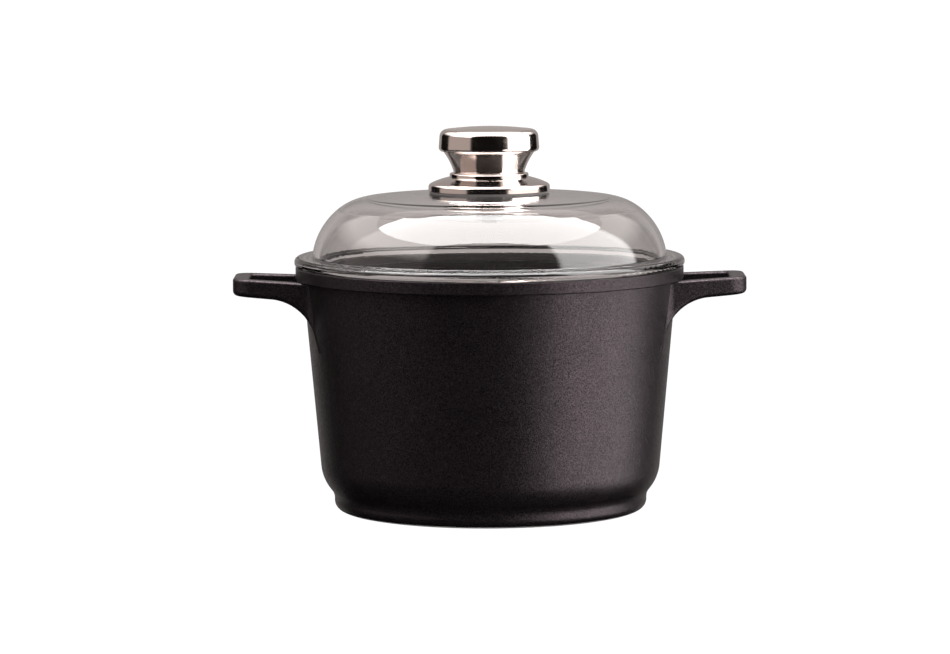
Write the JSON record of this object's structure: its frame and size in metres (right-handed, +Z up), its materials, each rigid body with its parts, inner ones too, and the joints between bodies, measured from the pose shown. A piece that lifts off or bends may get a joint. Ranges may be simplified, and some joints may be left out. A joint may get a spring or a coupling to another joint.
{
  "type": "lidded cooking pot",
  "caption": "Deep round cast cooking pot with loop handles cast on each side, a domed glass lid resting in its rim and a polished steel knob.",
  "frame": {"origin": "on the pot's vertical axis, at the face the pot stands on", "axes": "+Z up along the pot's axis, +X and -X towards the two handles"},
  "size_m": [0.3312, 0.2526, 0.2481],
  "materials": {
    "coated_casting": "matt dark non-stick coating with a fine metallic fleck",
    "lid_glass": "clear pressed glass, smooth",
    "silicone": "matt translucent silicone",
    "polished_steel": "polished stainless steel",
    "plain_steel": "plain turned stainless steel",
    "spring_steel": "plain spring steel"
  },
  "bodies": {
    "pot": {"pot_casting": "coated_casting"},
    "lid": {"lid_glass": "lid_glass", "collar_gasket": "silicone", "hole_bush": "silicone", "knob_collar": "polished_steel", "knob_neck": "polished_steel", "knob_cap": "polished_steel", "spacer_tube": "plain_steel", "under_washer": "plain_steel", "lock_washer": "spring_steel", "knob_screw": "plain_steel", "knob_insert": "plain_steel"}
  },
  "joints": [
    {"name": "lid_lift", "type": "slide", "parent": "pot", "child": "lid", "axis": [0, 0, 1], "range_m": [0, 0.12]}
  ]
}
